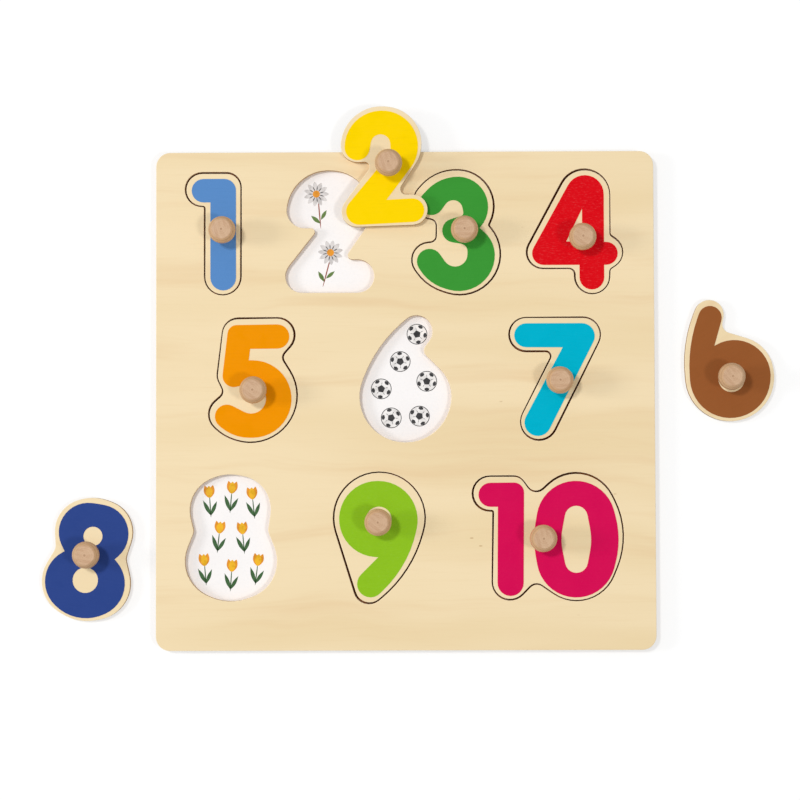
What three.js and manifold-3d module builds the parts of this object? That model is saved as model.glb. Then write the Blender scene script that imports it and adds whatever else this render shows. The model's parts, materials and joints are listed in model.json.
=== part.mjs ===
// A wooden number puzzle: a square plywood board with ten sawn openings, and ten number pieces with
// turned knobs. Seven pieces sit in their openings, the 2 lies on the board, and the 6 and the 8 lie
// beside it.
// Millimetres, +Z up. The origin is the centre of the board's underside, and +Y is the top of the numbers.
import * as THREE from "three";
import { mergeVertices } from "three/addons/utils/BufferGeometryUtils.js";
import Module from "manifold-3d";

const wasm = await Module();
wasm.setup();

// The board and its layers
const BOARD_SIDE = 300;
const BOARD_CORNER_RADIUS = 8.5;
const BACKING_THICKNESS = 3;
const SHEET_THICKNESS = 0.3;
const FRAME_THICKNESS = 4.6;
const SHEET_Z = BACKING_THICKNESS;
const FRAME_Z = SHEET_Z + SHEET_THICKNESS;
const BOARD_TOP = FRAME_Z + FRAME_THICKNESS;

// The number pieces
const PLATE_THICKNESS = 4.6;
const SAW_GAP = 0.8;
const SEAT_GAP = 0.1;
const LIE_GAP = 0.3;
const INK_THICKNESS = 0.15;
const INK_KNOB_GAP = 0.3;

// The turned knob: its outer profile [radius, height] from the foot on the plate to the rim of the flat top
const KNOB_PROFILE = [
  [4.6, 0], [4.2, 3.2], [4.8, 5.6], [7, 8], [8, 10], [8.15, 12.2], [7.8, 14.2], [6.1, 17.1], [5.7, 17.5],
];
const KNOB_FOOT_RADIUS = KNOB_PROFILE[0][0];
const KNOB_HEIGHT = KNOB_PROFILE.at(-1)[1];
const KNOB_BORE_DEPTH = 10;
const KNOB_SIDES = 20;

// The countersunk screw that holds the knob from below
const SCREW_RADIUS = 1.6;
const SCREW_HEAD_RADIUS = 3.3;
const SCREW_LENGTH = 13.2;
const SCREW_TIP_LENGTH = 2;
const SCREW_SUNK = 0.3;
const SCREW_GAP = 0.3;
const SCREW_SIDES = 14;

// Round stretches keep this close to the true arc, with no step wider than the angle
const ARC_ERROR = 0.07;
const WIDEST_STEP = Math.PI / 8;

// How far a cutter reaches past the face it cuts, and how close two corners are to count as one
const CUT_MARGIN = 1;
const SAME_CORNER = 1e-4;

// Colours from the photo
const PLYWOOD = 0xf0dcb4;
const PAPER = 0xf7f4f1;
const TURNED_WOOD = 0xd2ae92;
const STEEL = 0xb8bac0;

// Each outline is a belt round discs [x, y, radius], with the wood on its left. A negative radius is a disc
// that the belt passes on the other side, a hollow bend, and a radius of 0 is a sharp corner. home is where
// the piece's own origin sits on the board, and knob is its knob's axis. slip is how far a piece in its
// opening has moved and turned (degrees) from the middle. loose is where a piece out of its opening lies.
const NUMBERS = [
  {
    name: "one",
    colour: 0x5a8cc8,
    home: [-115.5, 101],
    knob: [6.32, 1.02],
    slip: [0.03, -0.2, -0.2],
    plate: [[5.75, -26.05, 10.55], [8, 28.1, 8.3], [-6.65, 26.65, 9.75], [-6.4, 15.3, -1.6]],
    inks: [
      {
        name: "ink_one",
        outline: [[6.06, -26.58, 7.7], [6.58, 26.22, 7], [-6.02, 26.08, 7.1], [-1.8, 18.99, 0]],
        holes: [],
      },
    ],
  },
  {
    name: "two",
    colour: 0xffd800,
    home: [-45, 102],
    knob: [3.16, 0.07],
    loose: { at: [-12.65, 140.85], z: BOARD_TOP + LIE_GAP, turn: 1.85 },
    plate: [
      [16.5, -27, 9.2], [13.1, -14.4, -3.4], [1, 13.5, 22.5], [-1, 11.8, 24.4],
      [-15.2, 13, 10.2], [-11.5, -0.2, -3.1], [-17, -27, 9.2],
    ],
    inks: [
      {
        name: "ink_two",
        outline: [
          [16.49, -27.38, 7.1], [1.11, -20.57, 0], [-0.29, 11.92, 21.5], [-0.88, 11.31, 22.1],
          [-15.39, 11.53, 7.6], [-1.3, 13.2, -5.9], [2.86, 8.46, -1.8], [-15.41, -27.07, 8],
        ],
        holes: [],
      },
    ],
  },
  {
    name: "three",
    colour: 0x3c9837,
    home: [31, 101.5],
    knob: [4.89, 0.03],
    slip: [-0.15, 0.05, 0.3],
    plate: [
      [2.07, -13.49, 24.2], [21.28, 4, -1.75], [0.92, 15.5, 21.6],
      [-0.05, 9.7, 27.45], [-14.49, 18.83, 10.6], [-15.82, 3.82, -4.4],
      [-15.79, -2.38, -4.25], [-16.12, -16.88, 10.2], [1.23, -7.09, 30.05],
    ],
    inks: [
      {
        name: "ink_three",
        outline: [
          [1.58, -14.26, 21.7], [4.6, -14.3, 18.7], [14.25, 2.05, 0], [1.23, 14.94, 18.3],
          [1.19, 7.94, 25.25], [-14.56, 17.43, 7.3], [-1.48, 13.36, -5.7], [2.61, 11.34, -2],
          [-1.05, 0.66, 7.2], [2.29, -11.86, -4.6], [-0.62, -13.65, -7.5], [-16.04, -17.87, 7.6],
          [0.9, -8.75, 26.8],
        ],
        holes: [],
      },
    ],
  },
  {
    name: "four",
    colour: 0xde0d19,
    home: [102.3, 101.5],
    knob: [3.72, -4.39],
    slip: [0.25, -0.2, -0.2],
    plate: [
      [10.5, -27.1, 10.1], [23.5, -24.2, -2.8], [19.1, -12.5, 9.4], [23.5, -0.9, -2.6],
      [5.9, 22.2, 15], [-19.1, -12.5, 9.4], [-3.5, -25.8, -3.9],
    ],
    inks: [
      {
        name: "ink_four",
        outline: [
          [10.15, -27.56, 7.4], [17.52, -20.04, 0], [18.8, -13.13, 6.9], [17.47, -6.24, 0],
          [5.97, 22.72, 11.4], [-18.8, -13.17, 7], [2.72, -20.09, 0],
        ],
        holes: [[[4.3, 13.92, 0], [-5.33, -6.02, 0], [4.37, -5.98, 0]]],
      },
    ],
  },
  {
    name: "five",
    colour: 0xf39600,
    home: [-91.5, 12.4],
    knob: [0.87, -6.31],
    slip: [-0.08, -0.1, 0.55],
    plate: [
      [-1.65, -9.31, 27.7], [22.23, 13.51, -4.6], [14.77, 27.07, 10], [-8.94, 27.86, 9.1],
      [-14.61, 2.83, 6.6], [-22.57, -6.51, -4.6], [-16.2, -20.48, 10.15], [-2.46, -8.11, 28.6],
    ],
    inks: [
      {
        name: "ink_five",
        outline: [
          [-0.23, -11.3, 23.3], [-2.4, 12.02, 0], [-1.54, 18.92, 0], [14.83, 26.16, 7.3],
          [-9.55, 27.89, 5.5], [-11.59, 2.71, 6.7], [-1.23, -11.09, -9], [-15.93, -21.65, 7.2],
          [-2.51, -9.08, 25.5],
        ],
        holes: [],
      },
    ],
  },
  {
    name: "six",
    colour: 0x985a2f,
    home: [0, 13],
    knob: [-0.69, -10.5],
    loose: { at: [190.65, 22.9], z: 0, turn: 27.7 },
    plate: [[0.1, -10.8, 26.7], [4.5, -10.8, 22.5], [15.6, 17, -5.1], [6.9, 28.5, 8.8], [52.41, -28.9, 82]],
    inks: [
      {
        name: "ink_six",
        outline: [
          [2.68, -11.47, 21.75], [0.5, 10.2, 0], [6.32, 26.52, 7.05],
          [59.19, -34.85, 88], [-0.13, -11.22, 24.2],
        ],
        holes: [[[0.29, -12.12, 8]]],
      },
    ],
  },
  {
    name: "seven",
    colour: 0x00b4d0,
    home: [90.2, 12.6],
    knob: [2.06, -1.43],
    slip: [-0.05, 0.15, -0.4],
    plate: [[-9.8, -25.88, 10.6], [16.79, 26.53, 10.1], [-17.41, 26.66, 9.8], [-5.61, 13.46, -3.4]],
    inks: [
      {
        name: "ink_seven",
        outline: [[-10.36, -26.62, 8], [16.07, 25.66, 7.7], [-17.43, 25.93, 7.2], [4.52, 18.78, 0]],
        holes: [],
      },
    ],
  },
  {
    name: "eight",
    colour: 0x2f478b,
    home: [-105.2, -82.5],
    knob: [-0.69, 3.1],
    loose: { at: [-190.55, -95.25], z: 0, turn: -9.3 },
    plate: [
      [5.1, -13.8, 22], [29.1, 4.8, -7.3], [3.8, 17.1, 19.6], [-0.1, 11, 26.3],
      [-4, 16.6, 19.6], [-27.9, 4.2, -6.5], [-4.9, -13.9, 21.6], [0.2, -8.35, 28.75],
    ],
    inks: [
      {
        name: "ink_eight",
        outline: [
          [4, -14, 19.8], [15.1, 2.5, 0], [3.4, 16.1, 17.7], [0, 11.1, 22.8],
          [-3.3, 16.1, 17.7], [-15.45, 2.6, 0], [-4.6, -14, 19.8], [-0.3, -9.3, 26.1],
        ],
        holes: [[[-0.05, 14.15, 5.8]], [[-0.3, -12.6, 7.7]]],
      },
    ],
  },
  {
    name: "nine",
    colour: 0x8fc323,
    home: [-16, -82.6],
    knob: [-0.49, 9.35],
    slip: [0.15, 0.2, 0.35],
    plate: [[0.22, 11.8, 27.1], [-6.07, -30.29, 8.6], [-46.19, 22.17, 74.6]],
    inks: [
      {
        name: "ink_nine",
        outline: [
          [-0.39, 10.4, 23.5], [-1.18, 11.11, 22.8], [-0.72, -11.8, 0],
          [-5.52, -27.77, 8], [-46.03, 19.18, 69.95],
        ],
        holes: [[[-0.2, 10.75, 7.8]]],
      },
    ],
  },
  {
    name: "ten",
    colour: 0xd80f55,
    home: [85.4, -82.2],
    knob: [-3.55, -0.57],
    slip: [0.05, -0.1, -0.4],
    plate: [
      [-22.86, -27.12, 10.2], [-6.82, -33.74, -5.9], [16.97, -13.91, 23.9],
      [-3.4, 0.18, 48.1], [16.83, 14.09, 23.8], [-7.07, 33.16, -6.4],
      [-20.65, 28.89, 7.1], [-34.84, 25.92, 10], [-33.88, 14.52, -1.4],
    ],
    inks: [
      {
        name: "ink_ten_one",
        outline: [[-22.46, -27.66, 7.8], [-20.54, 26.46, 6], [-34.63, 25.06, 7.2], [-30.18, 17.89, 0]],
        holes: [],
      },
      {
        name: "ink_ten_zero",
        outline: [[16.58, 10.02, 23.6], [46.56, -1.07, 55], [16.74, -12.58, 23.6], [-12.84, -1.49, 55]],
        holes: [[[16.77, 11.82, 6.9], [43.96, -1.29, 36], [16.95, -14.58, 6.9], [-10.24, -1.67, 36]]],
      },
    ],
  },
];

// The angle that a belt turns at a disc: anticlockwise round an ordinary one, clockwise in a hollow bend.
function turnAt(radius, from, to) {
  const full = 2 * Math.PI;
  const slack = 0.3;
  const sense = radius < 0 ? -1 : 1;
  const turn = (((sense * (to - from) + slack) % full) + full) % full;
  return sense * (turn - slack);
}

// The points of a belt round discs, with every radius grown by an offset that moves the belt outwards.
function beltPoints(discs, offset = 0) {
  const count = discs.length;
  if (count === 1) {
    return ringPoints(discs[0], offset);
  }
  const grown = discs.map(([x, y, r]) => [x, y, r + offset]);
  const headings = grown.map(([x, y, r], i) => {
    const [nextX, nextY, nextR] = grown[(i + 1) % count];
    const lean = (nextR - r) / Math.hypot(nextX - x, nextY - y);
    return Math.atan2(nextY - y, nextX - x) - Math.asin(THREE.MathUtils.clamp(lean, -1, 1));
  });
  const points = [];
  grown.forEach(([x, y, r], i) => {
    const arrive = headings[(i + count - 1) % count];
    const turn = r === 0 ? 0 : turnAt(r, arrive, headings[i]);
    const steps = r === 0 ? 0 : Math.max(1, Math.ceil(Math.abs(turn) / stepAngle(discs[i][2])));
    for (let k = 0; k <= steps; k++) {
      const angle = arrive + (steps ? (turn * k) / steps : 0) - Math.PI / 2;
      points.push(new THREE.Vector2(x + r * Math.cos(angle), y + r * Math.sin(angle)));
    }
  });
  return withoutRepeats(points);
}

// The points of one whole circle.
function ringPoints([x, y, r], offset) {
  const steps = Math.ceil((2 * Math.PI) / stepAngle(r));
  const points = [];
  for (let k = 0; k < steps; k++) {
    const angle = (2 * Math.PI * k) / steps;
    points.push(new THREE.Vector2(x + (r + offset) * Math.cos(angle), y + (r + offset) * Math.sin(angle)));
  }
  return points;
}

// The widest step along an arc that keeps its chord within the error.
function stepAngle(radius) {
  const size = Math.max(Math.abs(radius), ARC_ERROR);
  return Math.min(WIDEST_STEP, 2 * Math.acos(1 - ARC_ERROR / size));
}

// The points with any that falls on the one before it left out.
function withoutRepeats(points) {
  const least = 0.05;
  return points.filter((p, i) => p.distanceTo(points[(i + points.length - 1) % points.length]) > least);
}

// A flat slab of an outline, with holes through it, from z = 0 up.
function slab(outline, holes, thickness) {
  const shape = new THREE.Shape(outline);
  shape.holes = holes.map((points) => new THREE.Path(points));
  return new THREE.ExtrudeGeometry(shape, { depth: thickness, bevelEnabled: false });
}

// A turned solid about Z from its profile [radius, height], which starts and ends on the axis.
function turned(profile, sides) {
  const points = profile.map(([radius, height]) => new THREE.Vector2(radius, height));
  return new THREE.LatheGeometry(points, sides).rotateX(Math.PI / 2);
}

// A closed geometry as a solid that can be cut.
function solidOf(geometry) {
  const bare = geometry.clone();
  bare.deleteAttribute("normal");
  bare.deleteAttribute("uv");
  const merged = mergeVertices(bare, SAME_CORNER);
  return new wasm.Manifold(
    new wasm.Mesh({
      numProp: 3,
      vertProperties: new Float32Array(merged.attributes.position.array),
      triVerts: new Uint32Array(merged.index.array),
    }),
  );
}

// A cut solid as a geometry with flat faces.
function geometryOf(solid) {
  const mesh = solid.getMesh();
  const geometry = new THREE.BufferGeometry();
  geometry.setAttribute("position", new THREE.BufferAttribute(new Float32Array(mesh.vertProperties), 3));
  geometry.setIndex(new THREE.BufferAttribute(new Uint32Array(mesh.triVerts), 1));
  const flat = geometry.toNonIndexed();
  flat.computeVertexNormals();
  return flat;
}

// A geometry with others cut out of it.
function cut(geometry, cutters) {
  return geometryOf(cutters.reduce((solid, cutter) => solid.subtract(solidOf(cutter)), solidOf(geometry)));
}

// A named mesh with its own material.
function piece(name, geometry, color, roughness, metalness = 0) {
  const material = new THREE.MeshStandardMaterial({ color, roughness, metalness });
  const mesh = new THREE.Mesh(geometry, material);
  mesh.name = name;
  return mesh;
}

// The board's rounded square.
function boardOutline() {
  const reach = BOARD_SIDE / 2 - BOARD_CORNER_RADIUS;
  const corners = [[1, -1], [1, 1], [-1, 1], [-1, -1]];
  return beltPoints(corners.map(([x, y]) => [x * reach, y * reach, BOARD_CORNER_RADIUS]));
}

// The opening that a number drops into, in the board's frame.
function openingOutline({ plate, home }) {
  const centre = new THREE.Vector2(...home);
  return beltPoints(plate, SAW_GAP).map((p) => p.add(centre));
}

// The backing, the printed sheet and the sawn frame, glued into one board.
function board() {
  const group = new THREE.Group();
  const outline = boardOutline();
  const backing = piece("backing_board", slab(outline, [], BACKING_THICKNESS), PLYWOOD, 0.75);
  const sheet = piece("picture_sheet", slab(outline, [], SHEET_THICKNESS), PAPER, 0.5);
  const openings = NUMBERS.map(openingOutline);
  const frame = piece("frame_board", slab(outline, openings, FRAME_THICKNESS), PLYWOOD, 0.55);
  sheet.position.z = SHEET_Z;
  frame.position.z = FRAME_Z;
  group.add(backing, sheet, frame);
  return group;
}

// The plate of a number, with its screw hole and countersink.
function plateGeometry(number) {
  const hole = SCREW_RADIUS + SCREW_GAP;
  const sink = SCREW_HEAD_RADIUS + SCREW_GAP;
  const below = -CUT_MARGIN;
  const above = PLATE_THICKNESS + CUT_MARGIN;
  const drill = turned(
    [
      [0, below], [sink, below], [sink, SCREW_SUNK],
      [hole, SCREW_SUNK + sink - hole], [hole, above], [0, above],
    ],
    SCREW_SIDES,
  );
  drill.translate(...number.knob, 0);
  return cut(slab(beltPoints(number.plate), [], PLATE_THICKNESS), [drill]);
}

// The printed coat of a number, with a round gap where the knob's foot stands.
function inkGeometry(ink, knob) {
  const coat = slab(beltPoints(ink.outline), ink.holes.map((hole) => beltPoints(hole)), INK_THICKNESS);
  const radius = KNOB_FOOT_RADIUS + INK_KNOB_GAP;
  const height = 2 * (INK_THICKNESS + CUT_MARGIN);
  const foot = new THREE.CylinderGeometry(radius, radius, height, KNOB_SIDES).rotateX(Math.PI / 2);
  foot.translate(...knob, 0);
  return cut(coat, [foot]);
}

// The turned knob, from its foot at z = 0, with the screw's blind bore.
function knobGeometry() {
  const bore = SCREW_RADIUS + SCREW_GAP;
  const inside = [[0, KNOB_BORE_DEPTH], [bore, KNOB_BORE_DEPTH], [bore, 0]];
  return turned([...inside, ...KNOB_PROFILE, [0, KNOB_HEIGHT]], KNOB_SIDES);
}

// The countersunk screw, from its flat head up to its point.
function screwGeometry() {
  const neck = SCREW_HEAD_RADIUS - SCREW_RADIUS;
  return turned(
    [
      [0, 0], [SCREW_HEAD_RADIUS, 0], [SCREW_RADIUS, neck],
      [SCREW_RADIUS, SCREW_LENGTH - SCREW_TIP_LENGTH], [0, SCREW_LENGTH],
    ],
    SCREW_SIDES,
  );
}

// Where a number piece is: in its opening with its slip, or lying loose.
function placeOf({ home, slip, loose }) {
  if (loose) {
    return loose;
  }
  const [slipX, slipY, turn] = slip;
  return { at: [home[0] + slipX, home[1] + slipY], z: FRAME_Z + SEAT_GAP, turn };
}

// One number piece where it sits or lies: its plate, printed coat, knob and screw.
function numberPiece(number) {
  const group = new THREE.Group();
  const [knobX, knobY] = number.knob;
  const plate = piece("plate_" + number.name, plateGeometry(number), PLYWOOD, 0.55);
  group.add(plate);
  for (const ink of number.inks) {
    const coat = piece(ink.name, inkGeometry(ink, number.knob), number.colour, 0.4);
    coat.position.z = PLATE_THICKNESS;
    group.add(coat);
  }
  const knob = piece("knob_" + number.name, knobGeometry(), TURNED_WOOD, 0.5);
  knob.position.set(knobX, knobY, PLATE_THICKNESS);
  const screw = piece("screw_" + number.name, screwGeometry(), STEEL, 0.35, 0.9);
  screw.position.set(knobX, knobY, SCREW_SUNK);
  group.add(knob, screw);
  const { at, z, turn } = placeOf(number);
  group.position.set(...at, z);
  group.rotation.z = THREE.MathUtils.degToRad(turn);
  return group;
}

const puzzle = new THREE.Group();
puzzle.name = "number_puzzle";
puzzle.add(board());
NUMBERS.forEach((number) => puzzle.add(numberPiece(number)));

export default puzzle;
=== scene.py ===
"""A wooden number puzzle: sanded plywood, printed numbers, turned knobs and counting pictures."""

import json
import logging
import math
from collections.abc import Callable
from dataclasses import dataclass, field
from enum import Enum

import bmesh
import bpy
from bmesh.types import BMEdge, BMesh, BMFace, BMVert
from mathutils import Matrix, Vector
from mathutils.geometry import interpolate_bezier


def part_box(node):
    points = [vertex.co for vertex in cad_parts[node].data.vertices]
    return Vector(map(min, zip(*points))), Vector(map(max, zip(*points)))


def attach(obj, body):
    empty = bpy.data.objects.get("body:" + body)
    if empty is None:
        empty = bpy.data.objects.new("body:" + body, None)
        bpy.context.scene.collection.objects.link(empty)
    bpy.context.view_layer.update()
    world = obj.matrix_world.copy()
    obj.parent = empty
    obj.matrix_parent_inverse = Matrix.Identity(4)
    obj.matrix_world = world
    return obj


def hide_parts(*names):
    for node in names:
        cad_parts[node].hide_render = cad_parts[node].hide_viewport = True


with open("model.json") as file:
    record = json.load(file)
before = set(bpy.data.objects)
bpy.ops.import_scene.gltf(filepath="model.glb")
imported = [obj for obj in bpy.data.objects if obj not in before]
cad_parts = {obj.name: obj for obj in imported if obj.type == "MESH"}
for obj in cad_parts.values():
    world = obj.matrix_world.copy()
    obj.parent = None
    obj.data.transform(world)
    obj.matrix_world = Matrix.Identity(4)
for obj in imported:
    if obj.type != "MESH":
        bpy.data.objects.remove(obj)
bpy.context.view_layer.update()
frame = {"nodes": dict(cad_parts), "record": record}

MM = 0.001
MERGE = 0.001 * MM
LEVEL_GAP = 0.01 * MM
SCREW_REACH = 5.0 * MM
SANDED_OFF = 0.08 * MM
STEEP = math.radians(60.0)
FULL_TURN = 2.0 * math.pi
WHITE_LIGHT = (1.0, 1.0, 1.0, 1.0)

Colour = tuple[float, float, float]
Spot = tuple[float, float, float]
Box = tuple[Spot, Spot]
Socket = bpy.types.NodeSocket
Value = float | Socket

log = logging.getLogger("number_puzzle")


def tone(code: int) -> Colour:
    """A display colour such as 0xF3DDB3 as the linear colour that a shader takes.

    Args:
        code: the colour as red, green and blue bytes.

    Returns:
        The linear red, green and blue, each 0 to 1.
    """
    parts = [(code >> shift & 255) / 255 for shift in (16, 8, 0)]
    return tuple(p / 12.92 if p <= 0.04045 else ((p + 0.055) / 1.055) ** 2.4 for p in parts)


class Graph:
    """A material's node tree, with short calls for the nodes that the finishes use."""

    def __init__(self, name: str) -> None:
        """Makes a material with one plain shader.

        Args:
            name: the material's name.
        """
        self.material = bpy.data.materials.new(name)
        self.material.use_nodes = True
        self.nodes = self.material.node_tree.nodes
        self.links = self.material.node_tree.links
        self.shader = self.nodes["Principled BSDF"]

    def add(self, kind: str, **settings: object) -> bpy.types.Node:
        """A new node with some of its settings.

        Args:
            kind: the node's type name.
            settings: its properties by name.

        Returns:
            The node.
        """
        node = self.nodes.new(kind)
        for key, value in settings.items():
            setattr(node, key, value)
        return node

    def feed(self, socket: Socket, value: object) -> None:
        """Links a socket to another, or sets its value.

        Args:
            socket: the input to feed.
            value: an output socket or a plain value.
        """
        if isinstance(value, bpy.types.NodeSocket):
            self.links.new(value, socket)
        else:
            socket.default_value = value

    def placed(self, centre: Spot = (0.0, 0.0, 0.0), turn: float = 0.0) -> Socket:
        """The piece's own coordinates, measured from a centre and along turned axes.

        Args:
            centre: the new origin, in metres.
            turn: the angle of the new X axis about Z, in degrees.

        Returns:
            The vector socket.
        """
        source = self.add("ShaderNodeTexCoord")
        mapping = self.add("ShaderNodeMapping", vector_type="TEXTURE")
        self.feed(mapping.inputs["Vector"], source.outputs["Object"])
        mapping.inputs["Location"].default_value = centre
        mapping.inputs["Rotation"].default_value = (0.0, 0.0, math.radians(turn))
        return mapping.outputs["Vector"]

    def scaled(self, vector: Socket, per_metre: Spot) -> Socket:
        """A vector stretched to a pattern's scale.

        Args:
            vector: the place on the piece.
            per_metre: the pattern units in a metre along each axis.

        Returns:
            The new vector.
        """
        node = self.add("ShaderNodeVectorMath", operation="MULTIPLY")
        self.feed(node.inputs[0], vector)
        node.inputs[1].default_value = per_metre
        return node.outputs["Vector"]

    def wavering(self, vector: Socket, per_metre: Spot, reach: float) -> Socket:
        """A vector whose lines along X waver up and down.

        Args:
            vector: the place on the piece.
            per_metre: how closely the waves follow each other along each axis.
            reach: how far they go, in metres.

        Returns:
            The new vector.
        """
        wave = self.noise(self.scaled(vector, per_metre), 2.0)
        shift = self.add("ShaderNodeCombineXYZ")
        self.feed(shift.inputs["Y"], self.math("MULTIPLY", self.math("SUBTRACT", wave, 0.5), 2.0 * reach))
        node = self.add("ShaderNodeVectorMath", operation="ADD")
        self.feed(node.inputs[0], vector)
        self.feed(node.inputs[1], shift.outputs["Vector"])
        return node.outputs["Vector"]

    def split(self, vector: Socket) -> tuple[Socket, Socket, Socket]:
        """The three parts of a vector.

        Args:
            vector: the vector to split.

        Returns:
            Its X, Y and Z.
        """
        node = self.add("ShaderNodeSeparateXYZ")
        self.feed(node.inputs[0], vector)
        return node.outputs[0], node.outputs[1], node.outputs[2]

    def math(self, operation: str, first: Value, second: Value = 0.0) -> Socket:
        """One sum of two values.

        Args:
            operation: the kind of sum.
            first: its first value.
            second: its second value, if it takes one.

        Returns:
            The result.
        """
        node = self.add("ShaderNodeMath", operation=operation)
        self.feed(node.inputs[0], first)
        self.feed(node.inputs[1], second)
        return node.outputs[0]

    def noise(self, vector: Socket, detail: float = 2.0, roughness: float = 0.5) -> Socket:
        """Cloudy noise of one unit's size.

        Args:
            vector: the place, already scaled.
            detail: how many finer layers it has.
            roughness: how strong these are.

        Returns:
            The noise, 0 to 1.
        """
        node = self.add("ShaderNodeTexNoise")
        self.feed(node.inputs["Vector"], vector)
        node.inputs["Scale"].default_value = 1.0
        node.inputs["Detail"].default_value = detail
        node.inputs["Roughness"].default_value = roughness
        return node.outputs[0]

    def cells(self, vector: Socket) -> Socket:
        """The distance from the nearest of some scattered points.

        Args:
            vector: the place, already scaled.

        Returns:
            The distance.
        """
        node = self.add("ShaderNodeTexVoronoi")
        self.feed(node.inputs["Vector"], vector)
        node.inputs["Scale"].default_value = 1.0
        return node.outputs["Distance"]

    def step(self, value: Socket, low: float, high: float, top: float = 1.0) -> Socket:
        """A smooth rise from 0 to top as the value goes from low to high.

        Args:
            value: what is measured.
            low: where the rise starts.
            high: where it ends, which may be below low.
            top: the highest result.

        Returns:
            The rise as a socket.
        """
        node = self.add("ShaderNodeMapRange", interpolation_type="SMOOTHSTEP")
        self.feed(node.inputs["Value"], value)
        node.inputs["From Min"].default_value = min(low, high)
        node.inputs["From Max"].default_value = max(low, high)
        node.inputs["To Min"].default_value = 0.0 if low < high else top
        node.inputs["To Max"].default_value = top if low < high else 0.0
        return node.outputs[0]

    def blend(self, factor: Value, first: Colour | Socket, second: Colour | Socket) -> Socket:
        """A colour between two others.

        Args:
            factor: 0 for the first colour, 1 for the second.
            first: the colour at 0.
            second: the colour at 1.

        Returns:
            The mixed colour.
        """
        node = self.add("ShaderNodeMix", data_type="RGBA")
        self.feed(node.inputs[0], factor)
        for socket, colour in ((node.inputs[6], first), (node.inputs[7], second)):
            self.feed(socket, colour if isinstance(colour, bpy.types.NodeSocket) else (*colour, 1.0))
        return node.outputs[2]

    def facing_up(self) -> Socket:
        """How level the surface is: 1 on a flat face, 0 on an upright wall."""
        normal = self.add("ShaderNodeNewGeometry").outputs["Normal"]
        return self.math("ABSOLUTE", self.split(normal)[2])

    def seen(self) -> Socket:
        """Where the camera sees a surface, straight, mirrored or through glass.

        Returns:
            1 there, or 0.
        """
        path = self.add("ShaderNodeLightPath")
        straight = self.math("MAXIMUM", path.outputs["Is Camera Ray"], path.outputs["Is Glossy Ray"])
        return self.math("MAXIMUM", straight, path.outputs["Is Transmission Ray"])

    def bump(self, height: Socket, strength: float, depth: float) -> None:
        """Raises and sinks the surface.

        Args:
            height: the pattern that it follows.
            strength: how much of it shows.
            depth: its full depth, in metres.
        """
        node = self.add("ShaderNodeBump")
        node.inputs["Strength"].default_value = strength
        node.inputs["Distance"].default_value = depth
        self.feed(node.inputs["Height"], height)
        self.feed(self.shader.inputs["Normal"], node.outputs["Normal"])

    def finish(
        self, colour: Socket, roughness: Value, specular: float, metallic: float = 0.0
    ) -> bpy.types.Material:
        """Feeds the shader and returns the material.

        Args:
            colour: the surface colour.
            roughness: how matt it is.
            specular: the strength of its plain reflection.
            metallic: 1 for a metal.

        Returns:
            The finished material.
        """
        self.feed(self.shader.inputs["Base Color"], colour)
        self.feed(self.shader.inputs["Roughness"], roughness)
        self.shader.inputs["Specular IOR Level"].default_value = specular
        self.shader.inputs["Metallic"].default_value = metallic
        return self.material


class RoomGraph(Graph):
    """The node tree of the room that the scene stands in."""

    def __init__(self, name: str) -> None:
        """Makes an evenly lit room and puts the scene in it.

        Args:
            name: the room's name.
        """
        world = bpy.data.worlds.new(name)
        world.use_nodes = True
        bpy.context.scene.world = world
        self.nodes = world.node_tree.nodes
        self.links = world.node_tree.links
        self.shader = self.nodes["Background"]


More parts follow.
